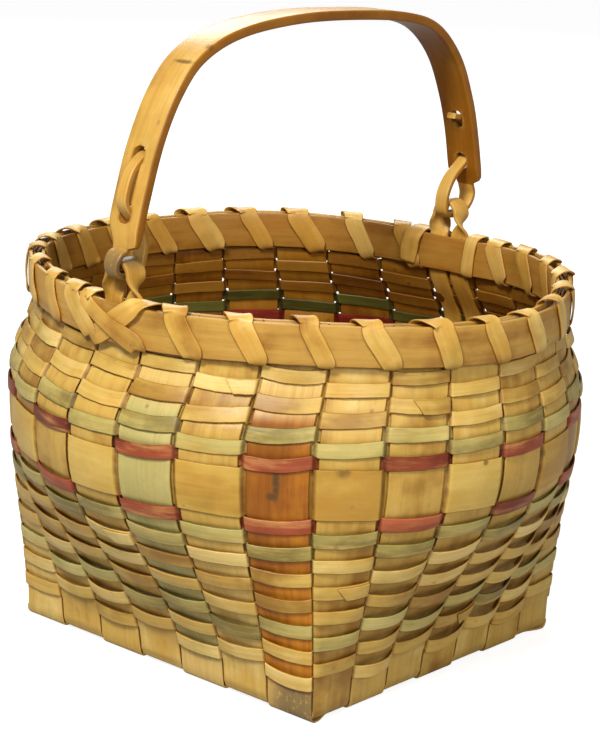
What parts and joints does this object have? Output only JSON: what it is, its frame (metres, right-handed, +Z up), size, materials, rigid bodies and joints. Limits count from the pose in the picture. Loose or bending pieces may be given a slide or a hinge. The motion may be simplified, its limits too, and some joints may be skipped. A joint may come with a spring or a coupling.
{
  "type": "swing handle splint basket",
  "caption": "Woven wood-splint basket with a square plaited base, round lashed rim and a bent bow handle that swings in two ears.",
  "frame": {"origin": "centre of the base's underside, in the middle of the bounding box", "axes": "+Z up through the mouth and the raised handle; the ears stand on +X and -X, and the handle's bow lies in the XZ plane"},
  "size_m": [0.2942, 0.3002, 0.3269],
  "materials": {
    "splint_tan": "dry, satin splint with fine long grain",
    "splint_green": "splint dyed pale green, faded",
    "splint_red": "splint dyed red, faded",
    "splint_orange": "dark orange-brown splint with growth marks",
    "rim_wood": "bent split wood, satin",
    "lashing_splint": "thin flat splint, satin",
    "handle_wood": "carved and bent hardwood, worn smooth"
  },
  "bodies": {
    "basket": {"stake_x_1": "splint_orange", "stake_x_2": "splint_tan", "stake_x_3": "splint_green", "stake_x_4": "splint_tan", "stake_x_5": "splint_tan", "stake_x_6": "splint_tan", "stake_x_7": "splint_tan", "stake_y_1": "splint_tan", "stake_y_2": "splint_tan", "stake_y_3": "splint_tan", "stake_y_4": "splint_tan", "stake_y_5": "splint_tan", "stake_y_6": "splint_tan", "stake_y_7": "splint_tan", "weaver_01": "splint_tan", "weaver_02": "splint_tan", "weaver_03": "splint_tan", "weaver_04": "splint_tan", "weaver_05": "splint_green", "weaver_06": "splint_green", "weaver_07": "splint_red", "weaver_08": "splint_tan", "weaver_09": "splint_red", "weaver_10": "splint_green", "weaver_11": "splint_green", "weaver_12": "splint_tan", "weaver_13": "splint_tan", "weaver_14": "splint_tan", "weaver_15": "splint_tan", "weaver_16": "splint_tan", "weaver_17": "splint_green", "weaver_18": "splint_green", "weaver_19": "splint_tan", "weaver_20": "splint_tan", "weaver_21": "splint_tan", "rim_weaver": "splint_tan", "rim_hoop_outer": "rim_wood", "rim_hoop_inner": "rim_wood", "rim_lashing": "lashing_splint", "ear_left": "handle_wood", "ear_right": "handle_wood"},
    "handle": {"handle_bow": "handle_wood"}
  },
  "joints": [
    {"name": "handle_swing", "type": "hinge", "parent": "basket", "child": "handle", "pos_m": [0, 0, 0.208], "axis": [1, 0, 0], "range_deg": [-75, 75]}
  ]
}
